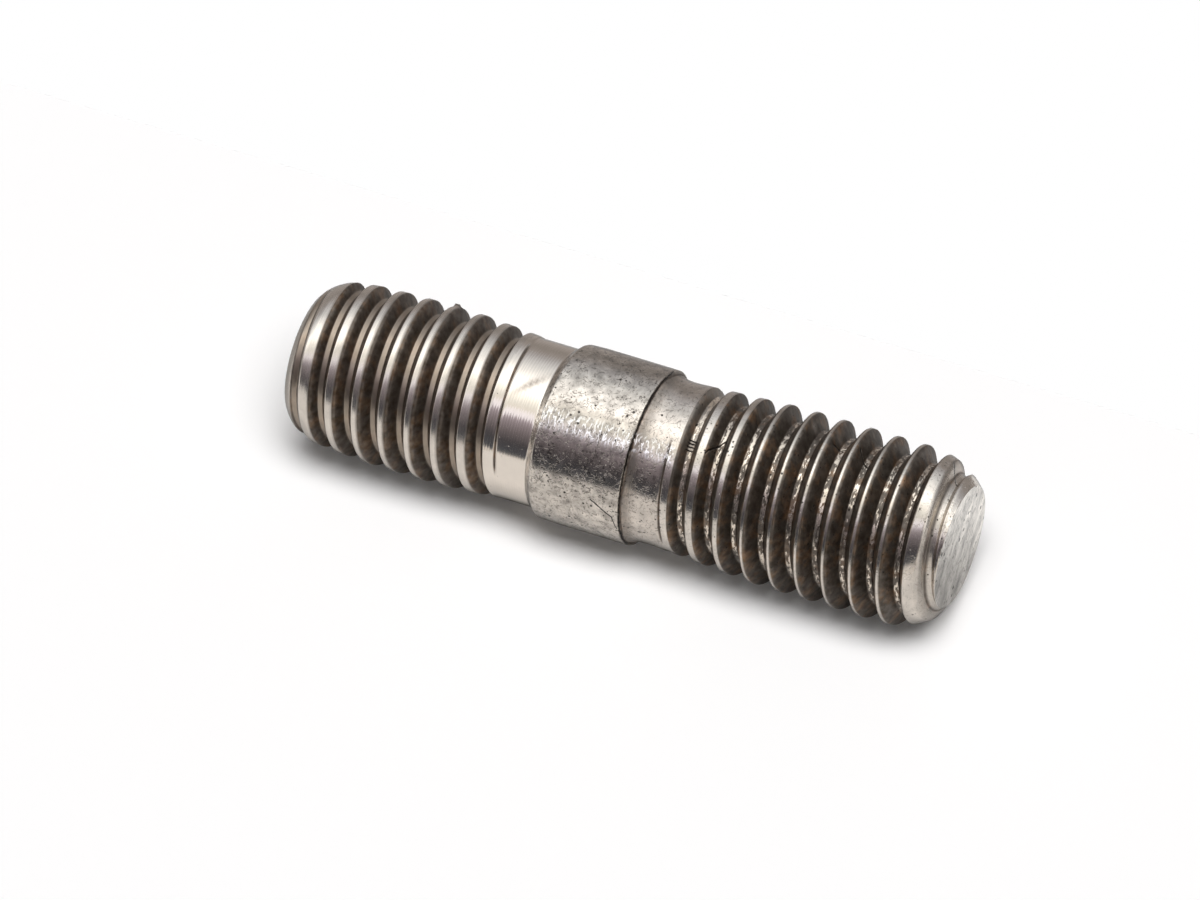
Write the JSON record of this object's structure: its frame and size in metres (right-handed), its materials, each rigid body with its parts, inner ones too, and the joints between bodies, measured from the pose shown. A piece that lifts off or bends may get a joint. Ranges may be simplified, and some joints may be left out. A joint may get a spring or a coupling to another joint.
{
  "type": "stud bolt",
  "caption": "Double-ended steel stud bolt with a thread at each end, a plain shank and a full-width collar between them.",
  "frame": {"origin": "centre of the lower end face, the end with the wide rounded crests", "axes": "+Z along the stud's axis, from the wide-crested thread towards the sharp-crested thread"},
  "size_m": [0.0078, 0.0078, 0.0304],
  "materials": {
    "stud_steel": "rolled and turned plain steel, bright on the crests and collar, dark oily film in the thread roots"
  },
  "bodies": {
    "root": {"stud": "stud_steel"}
  },
  "joints": []
}
